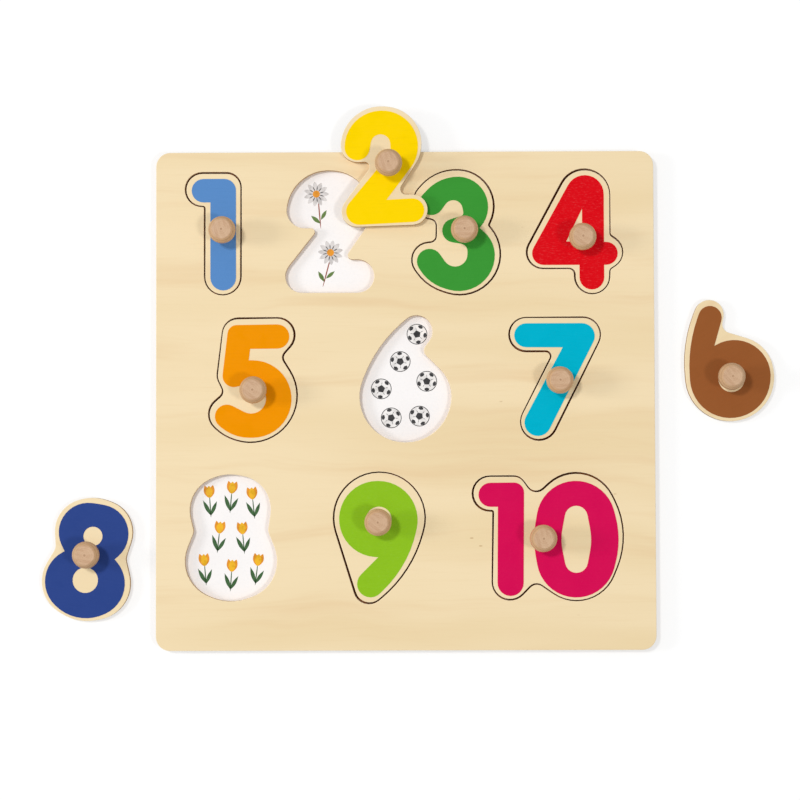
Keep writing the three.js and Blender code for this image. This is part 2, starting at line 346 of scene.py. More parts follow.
@dataclass(frozen=True)
class PlywoodFinish:
    """Pale plywood: flowing figure on its faces, glued layers on its sawn edges darkened towards their foot
    by painted shade, and a sanded arris lightened further by a painted highlight.
    """

    name: str
    bottom: float
    thickness: float
    layers: int
    turn: float = 0.0
    face: Colour = tone(0xF5E0B8)
    figure: Colour = tone(0xEACDA1)
    streak: Colour = tone(0xE9D0A0)
    fibre: Colour = tone(0xDDBE8C)
    speck: Colour = tone(0xB48C5C)
    layer_light: Colour = tone(0xF6E4C2)
    layer_dark: Colour = tone(0xE2C499)
    glue: Colour = tone(0xC4A173)
    # painted shade: the sawn walls darken towards their foot, standing in for the shadow deep in the narrow
    # cuts
    painted_wall_shade: Colour = tone(0xBC8C56)
    painted_wall_shading: float = 0.6
    # sanded arris: lighter sanded wood, plus a painted highlight along the rims
    sanded_arris_highlight: Colour = tone(0xFDEAC6)
    fibre_scale: Spot = (36.0, 1000.0, 1000.0)
    flow_scale: Spot = (8.0, 12.0, 12.0)
    flow_reach: float = 16.0 * MM
    figure_scale: Spot = (5.0, 85.0, 85.0)
    streak_scale: Spot = (2.6, 24.0, 24.0)
    speck_scale: Spot = (70.0, 170.0, 170.0)
    patch_scale: Spot = (23.0, 31.0, 31.0)
    pore_scale: Spot = (1500.0, 1500.0, 500.0)

    def material(self) -> bpy.types.Material:
        """The plywood as a material.

        Returns:
            The new material.
        """
        g = Graph(self.name)
        spot = g.placed((0.0, 0.0, self.bottom), self.turn)
        level = g.facing_up()
        fibre = g.noise(g.scaled(spot, self.fibre_scale), 3.0, 0.6)
        edge = self.edge_colour(g, spot)
        colour = g.blend(g.step(level, 0.3, 0.75), edge, self.face_colour(g, spot, fibre))
        # sanded arris: lighter where sanded, and lightened further as a painted highlight on the rounded
        # rims
        sanded_and_lit = g.math("MULTIPLY", g.step(level, 0.1, 0.45, 0.9), g.step(level, 0.995, 0.9))
        colour = g.blend(sanded_and_lit, colour, self.sanded_arris_highlight)
        g.bump(fibre, 0.1, 0.12 * MM)
        return g.finish(colour, g.step(fibre, 1.0, 0.1, 0.62), 0.0)

    def face_colour(self, g: Graph, spot: Socket, fibre: Socket) -> Socket:
        """The veneer's flat face: flowing figure, broad streaks, fine fibres and a few specks.

        Args:
            g: the graph to add to.
            spot: the place on the piece.
            fibre: the fine fibres.

        Returns:
            The face's colour.
        """
        flow = g.wavering(spot, self.flow_scale, self.flow_reach)
        figure = g.noise(g.scaled(flow, self.figure_scale), 3.0, 0.55)
        streak = g.noise(g.scaled(flow, self.streak_scale), 2.0, 0.5)
        dots = g.cells(g.scaled(spot, self.speck_scale))
        patch = g.noise(g.scaled(spot, self.patch_scale), 1.0)
        colour = g.blend(g.step(streak, 0.4, 0.7, 0.5), self.face, self.streak)
        colour = g.blend(g.step(figure, 0.5, 0.78, 0.6), colour, self.figure)
        colour = g.blend(g.step(fibre, 0.5, 0.85, 0.14), colour, self.fibre)
        speck = g.math("MULTIPLY", g.step(dots, 0.1, 0.05, 0.5), g.step(patch, 0.64, 0.7))
        return g.blend(speck, colour, self.speck)

    def edge_colour(self, g: Graph, spot: Socket) -> Socket:
        """The sawn edge: glued layers, every second one end grain, darkened below its rim by painted shade
        that stands in for the shadow in the narrow cut.

        Args:
            g: the graph to add to.
            spot: the place on the piece.

        Returns:
            The edge's colour.
        """
        rise = g.split(spot)[2]
        height = g.math("MULTIPLY", rise, self.layers / self.thickness)
        crossed = g.math("GREATER_THAN", g.math("MODULO", height, 2.0), 1.0)
        seam = g.math("PINGPONG", height, 0.5)
        pores = g.noise(g.scaled(spot, self.pore_scale), 2.0, 0.7)
        colour = g.blend(crossed, self.layer_light, self.layer_dark)
        colour = g.blend(g.step(pores, 0.4, 0.75, 0.35), colour, self.layer_dark)
        colour = g.blend(g.step(seam, 0.09, 0.02, 0.6), colour, self.glue)
        # painted shade: the wall's colour darkens towards its foot, standing in for the shadow in the
        # narrow cut
        deep = g.step(rise, 0.97 * self.thickness, 0.8 * self.thickness, self.painted_wall_shading)
        return g.blend(deep, colour, self.painted_wall_shade)


@dataclass(frozen=True)
class InkFinish:
    """A satin coat of printing ink that lets the wood's fibres show through, more where it is thin."""

    name: str
    colour: Colour
    turn: float = 0.0
    thin: float = 0.06
    shade: float = 0.9
    bare: float = 0.08
    fibre_scale: Spot = (70.0, 1500.0, 1500.0)
    cloud_scale: Spot = (90.0, 90.0, 90.0)
    pore_scale: Spot = (520.0, 1500.0, 1500.0)

    def material(self) -> bpy.types.Material:
        """The ink as a material.

        Returns:
            The new material.
        """
        g = Graph(self.name)
        spot = g.placed(turn=self.turn)
        fibre = g.noise(g.scaled(spot, self.fibre_scale), 3.0, 0.65)
        cloud = g.noise(g.scaled(spot, self.cloud_scale), 2.0)
        deep = tuple(c * self.shade for c in self.colour)
        colour = g.blend(g.step(fibre, 0.45, 0.85, 0.6), self.colour, deep)
        colour = g.blend(g.step(cloud, 0.45, 0.75, 0.2), colour, deep)
        pore = g.noise(g.scaled(spot, self.pore_scale), 3.0, 0.7)
        pale = tuple(c + (1.0 - c) * self.bare for c in self.colour)
        colour = g.blend(g.step(pore, 0.52, 0.75, self.thin), colour, pale)
        dense = tuple(c * self.shade ** 3 for c in self.colour)
        colour = g.blend(g.step(pore, 0.45, 0.25, self.thin), colour, dense)
        g.bump(fibre, 0.12, 0.08 * MM)
        return g.finish(colour, g.step(cloud, 1.0, 0.1, 0.6), 0.02)


@dataclass(frozen=True)
class TurnedWoodFinish:
    """Turned beech: faint lathe rings and pores on the flat top, darker flecked flanks."""

    name: str
    axis: Spot
    turn: float
    light: Colour = tone(0xD3B08F)
    dark: Colour = tone(0xC7A180)
    flank: Colour = tone(0xD3AB80)
    fleck: Colour = tone(0x96704F)
    mark: Colour = tone(0xA07A5C)
    ring_pitch: float = 1.3 * MM
    groove: float = 6.9 * MM
    wobble_scale: Spot = (150.0, 150.0, 150.0)
    wobble_reach: float = 0.35 * MM
    growth_scale: Spot = (120.0, 420.0, 60.0)
    fleck_scale: Spot = (1700.0, 1700.0, 190.0)

    def material(self) -> bpy.types.Material:
        """The beech as a material.

        Returns:
            The new material.
        """
        g = Graph(self.name)
        spot = g.placed(self.axis, self.turn)
        x, y, _ = g.split(g.wavering(spot, self.wobble_scale, self.wobble_reach))
        radius = g.math("SQRT", g.math("ADD", g.math("MULTIPLY", x, x), g.math("MULTIPLY", y, y)))
        growth = g.noise(g.scaled(spot, self.growth_scale), 2.0)
        flecks = g.noise(g.scaled(spot, self.fleck_scale), 2.0, 0.7)
        lathe = g.math("SINE", g.math("MULTIPLY", radius, FULL_TURN / self.ring_pitch))
        colour = g.blend(g.step(growth, 0.35, 0.7), self.light, self.dark)
        colour = g.blend(g.step(g.facing_up(), 0.97, 0.55, 0.75), colour, self.flank)
        colour = g.blend(g.step(flecks, 0.52, 0.8, 0.28), colour, self.fleck)
        colour = g.blend(g.step(lathe, 0.0, 1.0, 0.1), colour, self.fleck)
        off = g.math("ABSOLUTE", g.math("SUBTRACT", radius, self.groove))
        colour = g.blend(g.step(off, 0.4 * MM, 0.1 * MM, 0.25), colour, self.fleck)
        colour = g.blend(g.step(radius, 0.9 * MM, 0.4 * MM, 0.5), colour, self.mark)
        g.bump(g.math("ADD", flecks, g.math("MULTIPLY", lathe, 0.4)), 0.15, 0.1 * MM)
        return g.finish(colour, g.step(flecks, 1.0, 0.1, 0.6), 0.16)


@dataclass(frozen=True)
class SheetFinish:
    """White coated card with a faint fibre and a slightly uneven gloss."""

    name: str
    colour: Colour = tone(0xFBF8F7)
    shade: Colour = tone(0xF1ECEB)
    fibre_scale: Spot = (700.0, 700.0, 700.0)
    cloud_scale: Spot = (20.0, 20.0, 20.0)

    def material(self) -> bpy.types.Material:
        """The card as a material.

        Returns:
            The new material.
        """
        g = Graph(self.name)
        spot = g.placed()
        fibre = g.noise(g.scaled(spot, self.fibre_scale), 3.0, 0.7)
        cloud = g.noise(g.scaled(spot, self.cloud_scale), 2.0)
        colour = g.blend(g.step(cloud, 0.35, 0.75, 0.5), self.colour, self.shade)
        g.bump(fibre, 0.06, 0.05 * MM)
        return g.finish(colour, g.step(fibre, 1.0, 0.0, 0.7), 0.3)


@dataclass(frozen=True)
class KerfShadeFinish:
    """Painted shade for the floor of a narrow cut: dark brown, in grains like saw dust."""

    name: str
    light: Colour = tone(0xA05E26)
    dark: Colour = tone(0x5C340F)
    grain_scale: Spot = (2500.0, 2500.0, 2500.0)

    def material(self) -> bpy.types.Material:
        """The dust as a material.

        Returns:
            The new material.
        """
        g = Graph(self.name)
        spot = g.placed()
        grain = g.noise(g.scaled(spot, self.grain_scale), 3.0, 0.7)
        colour = g.blend(g.step(grain, 0.35, 0.7), self.light, self.dark)
        g.bump(grain, 0.3, 0.1 * MM)
        return g.finish(colour, g.step(grain, 0.0, 0.3), 0.02)


@dataclass(frozen=True)
class PrintFinish:
    """One colour of the printed pictures, mottled by its dots."""

    name: str
    colour: Colour
    shade: float = 0.8
    mottle_scale: Spot = (260.0, 260.0, 260.0)

    def material(self) -> bpy.types.Material:
        """The print as a material.

        Returns:
            The new material.
        """
        g = Graph(self.name)
        spot = g.placed()
        mottle = g.noise(g.scaled(spot, self.mottle_scale), 3.0, 0.6)
        deep = tuple(c * self.shade for c in self.colour)
        colour = g.blend(g.step(mottle, 0.35, 0.7), self.colour, deep)
        return g.finish(colour, g.step(mottle, 1.0, 0.0, 0.7), 0.3)


@dataclass(frozen=True)
class SteelFinish:
    """Zinc-plated steel with a mottled shine."""

    name: str
    light: Colour = tone(0xC9CBD0)
    dark: Colour = tone(0x8E9198)
    mottle_scale: Spot = (900.0, 900.0, 900.0)

    def material(self) -> bpy.types.Material:
        """The plated steel as a material.

        Returns:
            The new material.
        """
        g = Graph(self.name)
        spot = g.placed()
        mottle = g.noise(g.scaled(spot, self.mottle_scale), 3.0)
        colour = g.blend(g.step(mottle, 0.35, 0.75), self.light, self.dark)
        return g.finish(colour, g.step(mottle, 0.1, 1.0, 0.55), 0.5, 1.0)


def new_piece(
    name: str, bm: BMesh, finishes: list[bpy.types.Material], body: str, node: str = ""
) -> bpy.types.Object:
    """Turns a bmesh into a finished piece that rides on a body.

    Args:
        name: the piece's name.
        bm: its shape in the row frame, freed here.
        finishes: its materials, in the order of the faces' material indices.
        body: the body that it rides on.
        node: the CAD node that it stands for, if any.

    Returns:
        The new object.
    """
    mesh = bpy.data.meshes.new(name)
    bm.to_mesh(mesh)
    bm.free()
    for material in finishes:
        mesh.materials.append(material)
    piece = bpy.data.objects.new(name, mesh)
    bpy.context.collection.objects.link(piece)
    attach(piece, body)
    if node:
        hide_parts(node)
    log.info("%s rides on %s and stands for %s", name, body, node or "no node")
    return piece


def within(spot: Vector, box: Box, reach: float) -> bool:
    """Tells whether a spot lies in a box grown by a reach, seen from above."""
    low, high = box
    return all(low[i] - reach < spot[i] < high[i] + reach for i in (0, 1))


def thicken(bm: BMesh, faces: list[BMFace], height: float) -> None:
    """Closes some flat faces into a slab of a height.

    Args:
        bm: the mesh that holds them.
        faces: the slab's underside.
        height: how far its top lies above them.
    """
    raised = bmesh.ops.extrude_face_region(bm, geom=faces, use_keep_orig=True)["geom"]
    top = [part for part in raised if isinstance(part, BMVert)]
    bmesh.ops.translate(bm, verts=top, vec=(0.0, 0.0, height))


def turned(profile: list[tuple[float, float]], sides: int) -> BMesh:
    """Turns a profile about the Z axis.

    Args:
        profile: its points as radius and height, in order.
        sides: how many sides the turned shape has.

    Returns:
        The new mesh.
    """
    bm = bmesh.new()
    verts = [bm.verts.new((r, 0.0, z)) for r, z in profile]
    edges = [bm.edges.new(pair) for pair in zip(verts, verts[1:])]
    bmesh.ops.spin(
        bm,
        geom=verts + edges,
        cent=(0.0, 0.0, 0.0),
        axis=(0.0, 0.0, 1.0),
        angle=FULL_TURN,
        steps=sides,
        use_merge=True,
    )
    bmesh.ops.remove_doubles(bm, verts=bm.verts, dist=MERGE)
    return bm


def dress(node: str, material: bpy.types.Material) -> None:
    """Gives a CAD node that stays in view its finish.

    Args:
        node: the node's name.
        material: its finish.
    """
    for slot in frame["nodes"][node].material_slots:
        slot.material = material
    log.info("%s dressed in %s", node, material.name)


@dataclass
class SawnPlywood:
    """A flat plywood piece whose sawn walls are sanded down a little and rounded off at their rims."""

    node: str
    body: str
    finish: bpy.types.Material
    rim: float = 0.3 * MM
    rim_steps: int = 3
    level: float = math.radians(0.5)
    crease: float = math.radians(40.0)
    flat: float = 0.999
    spared: Vector | None = None
    border: float = 0.0

    def build(self) -> None:
        """Makes the rounded piece and lets it stand for its node."""
        bm = bmesh.new()
        bm.from_mesh(frame["nodes"][self.node].data)
        bmesh.ops.remove_doubles(bm, verts=bm.verts, dist=MERGE)
        bmesh.ops.dissolve_limit(bm, angle_limit=self.level, verts=bm.verts, edges=bm.edges)
        self.sand(bm)
        bmesh.ops.bevel(
            bm,
            geom=[edge for edge in bm.edges if self.on_rim(edge)],
            offset=self.rim,
            offset_type="OFFSET",
            segments=self.rim_steps,
            profile=0.5,
            affect="EDGES",
            clamp_overlap=False,
            material=-1,
        )
        bm.normal_update()
        for face in bm.faces:
            face.smooth = abs(face.normal.z) < self.flat
        for edge in bm.edges:
            edge.smooth = edge.calc_face_angle(0.0) < self.crease
        new_piece(self.node + "_sanded", bm, [self.finish], self.body, self.node)

    def sand(self, bm: BMesh) -> None:
        """Moves the sawn walls into the wood, but for the screw hole and what lies on the border.

        Args:
            bm: the piece's mesh.
        """
        bm.normal_update()
        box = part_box(self.node)
        for vert in bm.verts:
            if self.spared is not None and (vert.co - self.spared).xy.length < SCREW_REACH:
                continue
            if self.border and not within(vert.co, box, -self.border):
                continue
            aside = vert.normal.xy.normalized() * SANDED_OFF
            vert.co -= Vector((aside.x, aside.y, 0.0))

    def on_rim(self, edge: BMEdge) -> bool:
        """Tells whether an edge runs along the outline where a flat face meets the sawn wall.

        Args:
            edge: the edge to test.

        Returns:
            True for an edge to round off.
        """
        if len(edge.link_faces) != 2 or edge.calc_face_angle(0.0) < STEEP:
            return False
        first, second = (vert.co for vert in edge.verts)
        if abs(first.z - second.z) > LEVEL_GAP:
            return False
        return self.spared is None or (first - self.spared).xy.length > SCREW_REACH


@dataclass
class KerfShadeStrip:
    """A dark strip of painted shade on the sheet along the narrow cut round a seated plate."""

    name: str
    finish: bpy.types.Material
    reach: float = 1.5 * MM
    clearance: float = 0.05 * MM
    depth: float = 0.03 * MM

    def build(self, sheet_top: float) -> None:
        """Fills the floor of the cut between the frame and the plate with painted shade.

        Args:
            sheet_top: the height of the sheet's printed side.
        """
        plate = "plate_" + self.name
        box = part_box(plate)
        low, high = (Vector(corner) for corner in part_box("screw_" + self.name))
        hole = (low + high) / 2
        bm = bmesh.new()
        edges = self.outline(bm, plate, sheet_top, lambda spot: (spot - hole).xy.length > SCREW_REACH)
        edges += self.outline(bm, "frame_board", sheet_top, lambda spot: within(spot, box, self.reach))
        made = bmesh.ops.triangle_fill(bm, edges=edges, use_beauty=True, normal=(0.0, 0.0, 1.0))["geom"]
        thicken(bm, [part for part in made if isinstance(part, BMFace)], self.depth)
        bmesh.ops.recalc_face_normals(bm, faces=bm.faces)
        new_piece("painted_kerf_shade_" + self.name, bm, [self.finish], "board")

    def outline(
        self, bm: BMesh, node: str, height: float, wanted: Callable[[Vector], bool]
    ) -> list[BMEdge]:
        """Draws a node's bottom outline, a little clear of its sanded wall.

        Args:
            bm: the mesh to draw in.
            node: the node whose outline it is.
            height: the height to draw it at.
            wanted: tells whether a spot of the outline belongs to the saw cut.

        Returns:
            The new edges.
        """
        solid = bmesh.new()
        solid.from_mesh(frame["nodes"][node].data)
        bmesh.ops.remove_doubles(solid, verts=solid.verts, dist=MERGE)
        solid.normal_update()
        bottom = min(vert.co.z for vert in solid.verts)
        drawn: dict[BMVert, BMVert] = {}
        edges = []
        for edge in solid.edges:
            if edge.calc_face_angle(0.0) < STEEP:
                continue
            if max(vert.co.z for vert in edge.verts) > bottom + LEVEL_GAP:
                continue
            if not all(wanted(vert.co) for vert in edge.verts):
                continue
            for vert in edge.verts:
                if vert not in drawn:
                    aside = vert.normal.xy.normalized() * (self.clearance - SANDED_OFF)
                    drawn[vert] = bm.verts.new((vert.co.x + aside.x, vert.co.y + aside.y, height))
            edges.append(bm.edges.new([drawn[vert] for vert in edge.verts]))
        solid.free()
        return edges


@dataclass
class Knob:
    """A turned pull knob: a slim waist under a wide rounded head with a flat top and a lathe mark."""

    name: str
    foot: Vector
    turn: float
    foot_radius: float = 4.6 * MM
    waist_radius: float = 4.1 * MM
    waist_height: float = 3.0 * MM
    head_radius: float = 8.15 * MM
    head_height: float = 12.2 * MM
    shoulder_radius: float = 6.05 * MM
    top_radius: float = 5.6 * MM
    height: float = 17.5 * MM
    brow_reach: float = 0.9 * MM
    brow_drop: float = 1.1 * MM
    rim_drop: float = 0.3 * MM
    rim_reach: float = 0.15 * MM
    rim_rise: float = 0.2 * MM
    mark_radius: float = 0.5 * MM
    mark_depth: float = 0.35 * MM
    sides: int = 56
    curve_points: int = 9
    crease: float = math.radians(35.0)

    def profile(self) -> list[tuple[float, float]]:
        """The outer profile as radius and height, from the foot's edge up to the axis.

        Returns:
            The points in order.
        """
        foot, waist, head = self.foot_radius, self.waist_radius, self.head_radius
        shoulder, top = self.shoulder_radius, self.top_radius
        low, mid, high = self.waist_height, self.head_height, self.height
        rim = high - self.rim_drop
        brow = (shoulder + self.brow_reach, rim - self.brow_drop)
        edge = (shoulder - self.rim_reach, rim + self.rim_rise)
        curves = [
            ((foot, 0.0), (waist, 0.4 * low), (waist, 0.6 * low), (waist, low)),
            ((waist, low), (waist, 1.9 * low), (head, 0.55 * mid), (head, mid)),
            ((head, mid), (head, 0.4 * mid + 0.6 * high), brow, (shoulder, rim)),
            ((shoulder, rim), edge, (top + self.rim_reach, high), (top, high)),
        ]
        points: list[tuple[float, float]] = [(0.0, 0.0)]
        for curve in curves:
            smooth = interpolate_bezier(*(Vector((r, 0.0, z)) for r, z in curve), self.curve_points)
            points += [(p.x, p.z) for p in smooth]
        points += [(self.mark_radius, self.height), (0.0, self.height - self.mark_depth)]
        return points

    def build(self, body: str) -> None:
        """Turns the knob on its plate and lets it stand for its node.

        Args:
            body: the body that it rides on.
        """
        bm = turned(self.profile(), self.sides)
        bmesh.ops.translate(bm, verts=bm.verts, vec=self.foot)
        bmesh.ops.recalc_face_normals(bm, faces=bm.faces)
        for face in bm.faces:
            face.smooth = True
        finish = TurnedWoodFinish("beech_" + self.name, tuple(self.foot), self.turn).material()
        node = "knob_" + self.name
        piece = new_piece(node + "_turned", bm, [finish], body, node)
        piece.data.set_sharp_from_angle(angle=self.crease)


@dataclass
class Screw:
    """A countersunk wood screw seen from below: a flat head with a cross recess, and a plain shank."""

    name: str
    head: Vector
    finish: bpy.types.Material
    head_radius: float = 3.3 * MM
    head_edge: float = 0.15 * MM
    shank_radius: float = 1.6 * MM
    length: float = 13.2 * MM
    tip: float = 2.0 * MM
    slot_reach: float = 1.9 * MM
    slot_half: float = 0.45 * MM
    slot_depth: float = 0.9 * MM
    sides: int = 32

    def build(self, body: str) -> None:
        """Makes the screw and lets it stand for its node.

        Args:
            body: the body that it rides on.
        """
        profile = [
            (self.head_radius, 0.0),
            (self.head_radius, self.head_edge),
            (self.shank_radius, self.head_radius - self.shank_radius),
            (self.shank_radius, self.length - self.tip),
            (0.0, self.length),
        ]
        bm = turned(profile, self.sides)
        self.recess(bm, [edge for edge in bm.edges if edge.is_boundary])
        bmesh.ops.recalc_face_normals(bm, faces=bm.faces)
        bmesh.ops.translate(bm, verts=bm.verts, vec=self.head)
        node = "screw_" + self.name
        new_piece(node + "_cross", bm, [self.finish], body, node)

    def recess(self, bm: BMesh, rim: list[BMEdge]) -> None:
        """Closes the head with a flat face and sinks a cross into it.

        Args:
            bm: the screw, open at its head.
            rim: the head's open edges.
        """
        reach, half = self.slot_reach, self.slot_half
        quarter = [(reach, -half), (reach, half), (half, half)]
        turns = [Matrix.Rotation(k * FULL_TURN / 4, 2) for k in range(4)]
        corners = [turn @ Vector(point) for turn in turns for point in quarter]
        ring = [bm.verts.new((corner.x, corner.y, 0.0)) for corner in corners]
        cross = [bm.edges.new((ring[i - 1], ring[i])) for i in range(len(ring))]
        bmesh.ops.triangle_fill(bm, edges=rim + cross, use_beauty=True)
        floor = bm.faces.new(ring)
        sunk = bmesh.ops.extrude_face_region(bm, geom=[floor])["geom"]
        deep = [part for part in sunk if isinstance(part, BMVert)]
        bmesh.ops.translate(bm, verts=deep, vec=(0.0, 0.0, self.slot_depth))
        bmesh.ops.delete(bm, geom=[floor], context="FACES_ONLY")


class Motif(Enum):
    """The thing that a counting picture repeats."""

    SUN = "sun"
    DAISY = "daisy"
    APPLE = "apple"
    HEART = "heart"
    STAR = "star"
    BALL = "ball"
    DROP = "drop"
    TULIP = "tulip"
    CLOVER = "clover"
    BALLOON = "balloon"


class Ink(Enum):
    """The colours of the printed pictures, by their place in a picture's list of materials."""

    WHITE = 0xDDD8D6
    ORANGE = 0xE9960F
    RUST = 0x9C4A34
    BLACK = 0x2B2A2C
    CHALK = 0xF7F4F2
    YELLOW = 0xF2B705
    LEAF = 0x2F5A2A
    MOSS = 0x5D7A35
    RED = 0xC8302B
    SKY = 0x3F9CC9
    PINK = 0xD8598F


@dataclass
class CountingPicture:
    """The printed picture under one number: one motif, as often as the number says."""

    name: str
    motif: Motif
    size: float
    spots: list[Spot]
    layer: float = 0.015 * MM
    sides: int = 28
    bm: BMesh = field(default_factory=bmesh.new)

    def build(self, sheet_top: float, inks: dict[Ink, bpy.types.Material]) -> None:
        """Prints the picture on the sheet.

        Args:
            sheet_top: the height of the sheet's printed side.
            inks: the picture colours.
        """
        draw = getattr(self, self.motif.value)
        for x, y, turn in self.spots:
            place = Matrix.Translation((x * MM, y * MM, sheet_top))
            place @= Matrix.Rotation(math.radians(turn), 4, "Z")
            draw(place @ Matrix.Diagonal((self.size, self.size, 1.0, 1.0)))
        bmesh.ops.recalc_face_normals(self.bm, faces=self.bm.faces)
        finishes = [inks[ink] for ink in Ink]
        new_piece("picture_" + self.name, self.bm, finishes, "board")

    def stamp(
        self,
        place: Matrix,
        ink: Ink,
        centre: tuple[float, float],
        radii: tuple[float, float],
        turn: float = 0.0,
        level: int = 1,
        pinch: float = 0.0,
        sides: int = 0,
        notch: float = 1.0,
    ) -> None:
        """One flat printed shape: an ellipse, or one with pinched ends, few sides or notched sides.

        Args:
            place: where the motif is, in its own unit size.
            ink: its colour.
            centre: its middle in the motif.
            radii: its half width and half height.
            turn: its own turn in degrees.
            level: how many layers of ink it stands on the sheet.
            pinch: how much its ends are narrowed, 1 for points.
            sides: its corners, or 0 for a smooth round.
            notch: how far in every second corner is pulled.
        """
        corners = sides or self.sides
        made = bmesh.ops.create_circle(self.bm, cap_ends=True, segments=corners, radius=1.0)["verts"]
        for index, vert in enumerate(made):
            vert.co.x *= 1.0 - pinch * vert.co.y ** 2
            if index % 2:
                vert.co *= notch
        shape = Matrix.Translation((*centre, 0.0)) @ Matrix.Rotation(math.radians(turn), 4, "Z")
        bmesh.ops.transform(self.bm, matrix=place @ shape @ Matrix.Diagonal((*radii, 1.0, 1.0)), verts=made)
        face = next(face for face in made[0].link_faces if all(vert in made for vert in face.verts))
        face.material_index = list(Ink).index(ink)
        thicken(self.bm, [face], level * self.layer)

    def round_about(self, count: int, radius: float, height: float, first: float = 90.0) -> list[Spot]:
        """Places evenly round a centre.

        Args:
            count: how many places.
            radius: their distance from the centre.
            height: the centre's height in the motif.
            first: the direction of the first place, in degrees.

        Returns:
            Each place as its x, its y and its direction in degrees.
        """
        places = []
        for k in range(count):
            angle = first + 360.0 * k / count
            x = radius * math.cos(math.radians(angle))
            y = height + radius * math.sin(math.radians(angle))
            places.append((x, y, angle))
        return places

    def sun(self, place: Matrix) -> None:
        """A disc with pointed rays.

        Args:
            place: where it goes.
        """
        for x, y, turn in self.round_about(12, 0.4, 0.0):
            self.stamp(place, Ink.ORANGE, (x, y), (0.05, 0.1), turn - 90.0, 1, 0.9)
        self.stamp(place, Ink.YELLOW, (0.0, 0.0), (0.27, 0.27), level=2)

    def daisy(self, place: Matrix) -> None:
        """Pale petals round an orange centre on a bent stalk with two leaves.

        Args:
            place: where it goes.
        """
        self.stamp(place, Ink.RUST, (0.01, -0.16), (0.014, 0.36), -3.0)
        self.stamp(place, Ink.MOSS, (-0.09, -0.3), (0.045, 0.14), 42.0, 1, 0.85)
        self.stamp(place, Ink.MOSS, (0.1, -0.22), (0.04, 0.13), -38.0, 1, 0.85)
        for x, y, turn in self.round_about(11, 0.165, 0.27):
            self.stamp(place, Ink.WHITE, (x, y), (0.052, 0.115), turn - 90.0, 2, 0.35)
        self.stamp(place, Ink.ORANGE, (0.0, 0.27), (0.08, 0.08), level=3)

    def apple(self, place: Matrix) -> None:
        """Two lobes with a stalk and a leaf.

        Args:
            place: where it goes.
        """
        for side in (-1.0, 1.0):
            self.stamp(place, Ink.RED, (side * 0.13, -0.08), (0.25, 0.34), side * -8.0)
        self.stamp(place, Ink.RUST, (0.02, 0.33), (0.022, 0.14), -10.0, 2)
        self.stamp(place, Ink.LEAF, (0.16, 0.36), (0.06, 0.15), -62.0, 2, 0.85)

    def heart(self, place: Matrix) -> None:
        """Two lobes that meet in a point."""
        for side in (-1.0, 1.0):
            self.stamp(place, Ink.RED, (side * 0.15, 0.06), (0.235, 0.42), side * -38.0, 1, 0.25)

    def star(self, place: Matrix) -> None:
        """Five points."""
        self.stamp(place, Ink.ORANGE, (0.0, 0.0), (0.5, 0.5), sides=10, notch=0.45)

    def ball(self, place: Matrix) -> None:
        """A black and white ball: a dark rim, a pale disc, a dark middle and five dark patches.

        Args:
            place: where it goes.
        """
        self.stamp(place, Ink.BLACK, (0.0, 0.0), (0.5, 0.5))
        self.stamp(place, Ink.CHALK, (0.0, 0.0), (0.465, 0.465), level=2)
        self.stamp(place, Ink.BLACK, (0.0, 0.0), (0.19, 0.19), level=3, sides=5)
        for x, y, turn in self.round_about(5, 0.385, 0.0, 54.0):
            self.stamp(place, Ink.BLACK, (x, y), (0.135, 0.085), turn - 90.0, 3, 0.2, 6)
        for x, y, turn in self.round_about(5, 0.26, 0.0):
            self.stamp(place, Ink.BLACK, (x, y), (0.014, 0.085), turn - 90.0, 3, 0.0, 4)

    def drop(self, place: Matrix) -> None:
        """A drop with a pale glint.

        Args:
            place: where it goes.
        """
        self.stamp(place, Ink.SKY, (0.0, -0.14), (0.27, 0.29))
        self.stamp(place, Ink.SKY, (0.0, 0.08), (0.21, 0.42), 0.0, 1, 0.95)
        self.stamp(place, Ink.CHALK, (-0.1, -0.16), (0.04, 0.1), 20.0, 2, 0.4)

    def tulip(self, place: Matrix) -> None:
        """A yellow cup of three petals on a stalk with two long leaves.

        Args:
            place: where it goes.
        """
        self.stamp(place, Ink.LEAF, (0.0, -0.18), (0.017, 0.33))
        self.stamp(place, Ink.LEAF, (-0.1, -0.22), (0.06, 0.27), 24.0, 1, 0.9)
        self.stamp(place, Ink.LEAF, (0.1, -0.25), (0.055, 0.25), -27.0, 1, 0.9)
        for side in (-1.0, 1.0):
            self.stamp(place, Ink.ORANGE, (side * 0.075, 0.27), (0.085, 0.19), side * -15.0, 2, 0.55)
        self.stamp(place, Ink.YELLOW, (0.0, 0.26), (0.1, 0.18), 0.0, 3, 0.5)

    def clover(self, place: Matrix) -> None:
        """Three round leaves on a stalk.

        Args:
            place: where it goes.
        """
        self.stamp(place, Ink.MOSS, (0.03, -0.25), (0.025, 0.25), 8.0)
        for x, y, turn in self.round_about(3, 0.2, 0.1):
            self.stamp(place, Ink.LEAF, (x, y), (0.19, 0.2), turn - 90.0, 2)

    def balloon(self, place: Matrix) -> None:
        """An egg-shaped balloon on a string.

        Args:
            place: where it goes.
        """
        self.stamp(place, Ink.BLACK, (0.015, -0.33), (0.008, 0.2), 6.0)
        self.stamp(place, Ink.PINK, (0.0, 0.17), (0.24, 0.31), level=2)
        self.stamp(place, Ink.CHALK, (-0.09, 0.27), (0.035, 0.08), 24.0, 3, 0.3)


